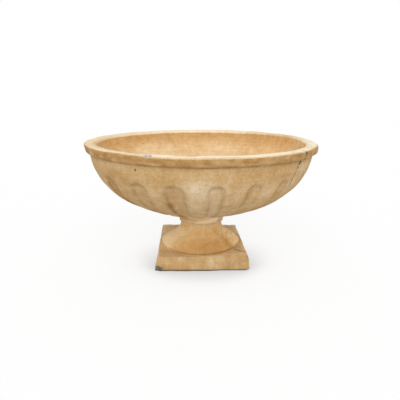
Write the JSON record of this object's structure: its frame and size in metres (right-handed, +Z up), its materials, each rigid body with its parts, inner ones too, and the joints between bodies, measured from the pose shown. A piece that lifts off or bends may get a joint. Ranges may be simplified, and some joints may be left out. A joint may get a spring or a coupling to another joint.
{
  "type": "flower pot",
  "caption": "Wide shallow pedestal planter in cast stone: a fluted bowl with a rim band on a bell-shaped socle and a square plinth, held by a threaded drain tube.",
  "frame": {"origin": "centre of the plinth's underside, on the ground", "axes": "+Z up along the bowl's axis, -Y towards the front face of the plinth, +X to the right"},
  "size_m": [0.6999, 0.6999, 0.377],
  "materials": {
    "cast_stone": "buff cast stone with an ochre wash, matt and weathered, grey where it is chipped",
    "mortar": "raked sand mortar, dark with dirt",
    "galvanised_steel": "dull zinc",
    "seal_rubber": "matt black"
  },
  "bodies": {
    "root": {"plinth": "cast_stone", "foot_bed": "mortar", "socle": "cast_stone", "neck_bed": "mortar", "bowl": "cast_stone", "tie_tube": "galvanised_steel", "upper_seal": "seal_rubber", "upper_washer": "galvanised_steel", "upper_backnut": "galvanised_steel", "lower_washer": "galvanised_steel", "lower_backnut": "galvanised_steel"}
  },
  "joints": []
}
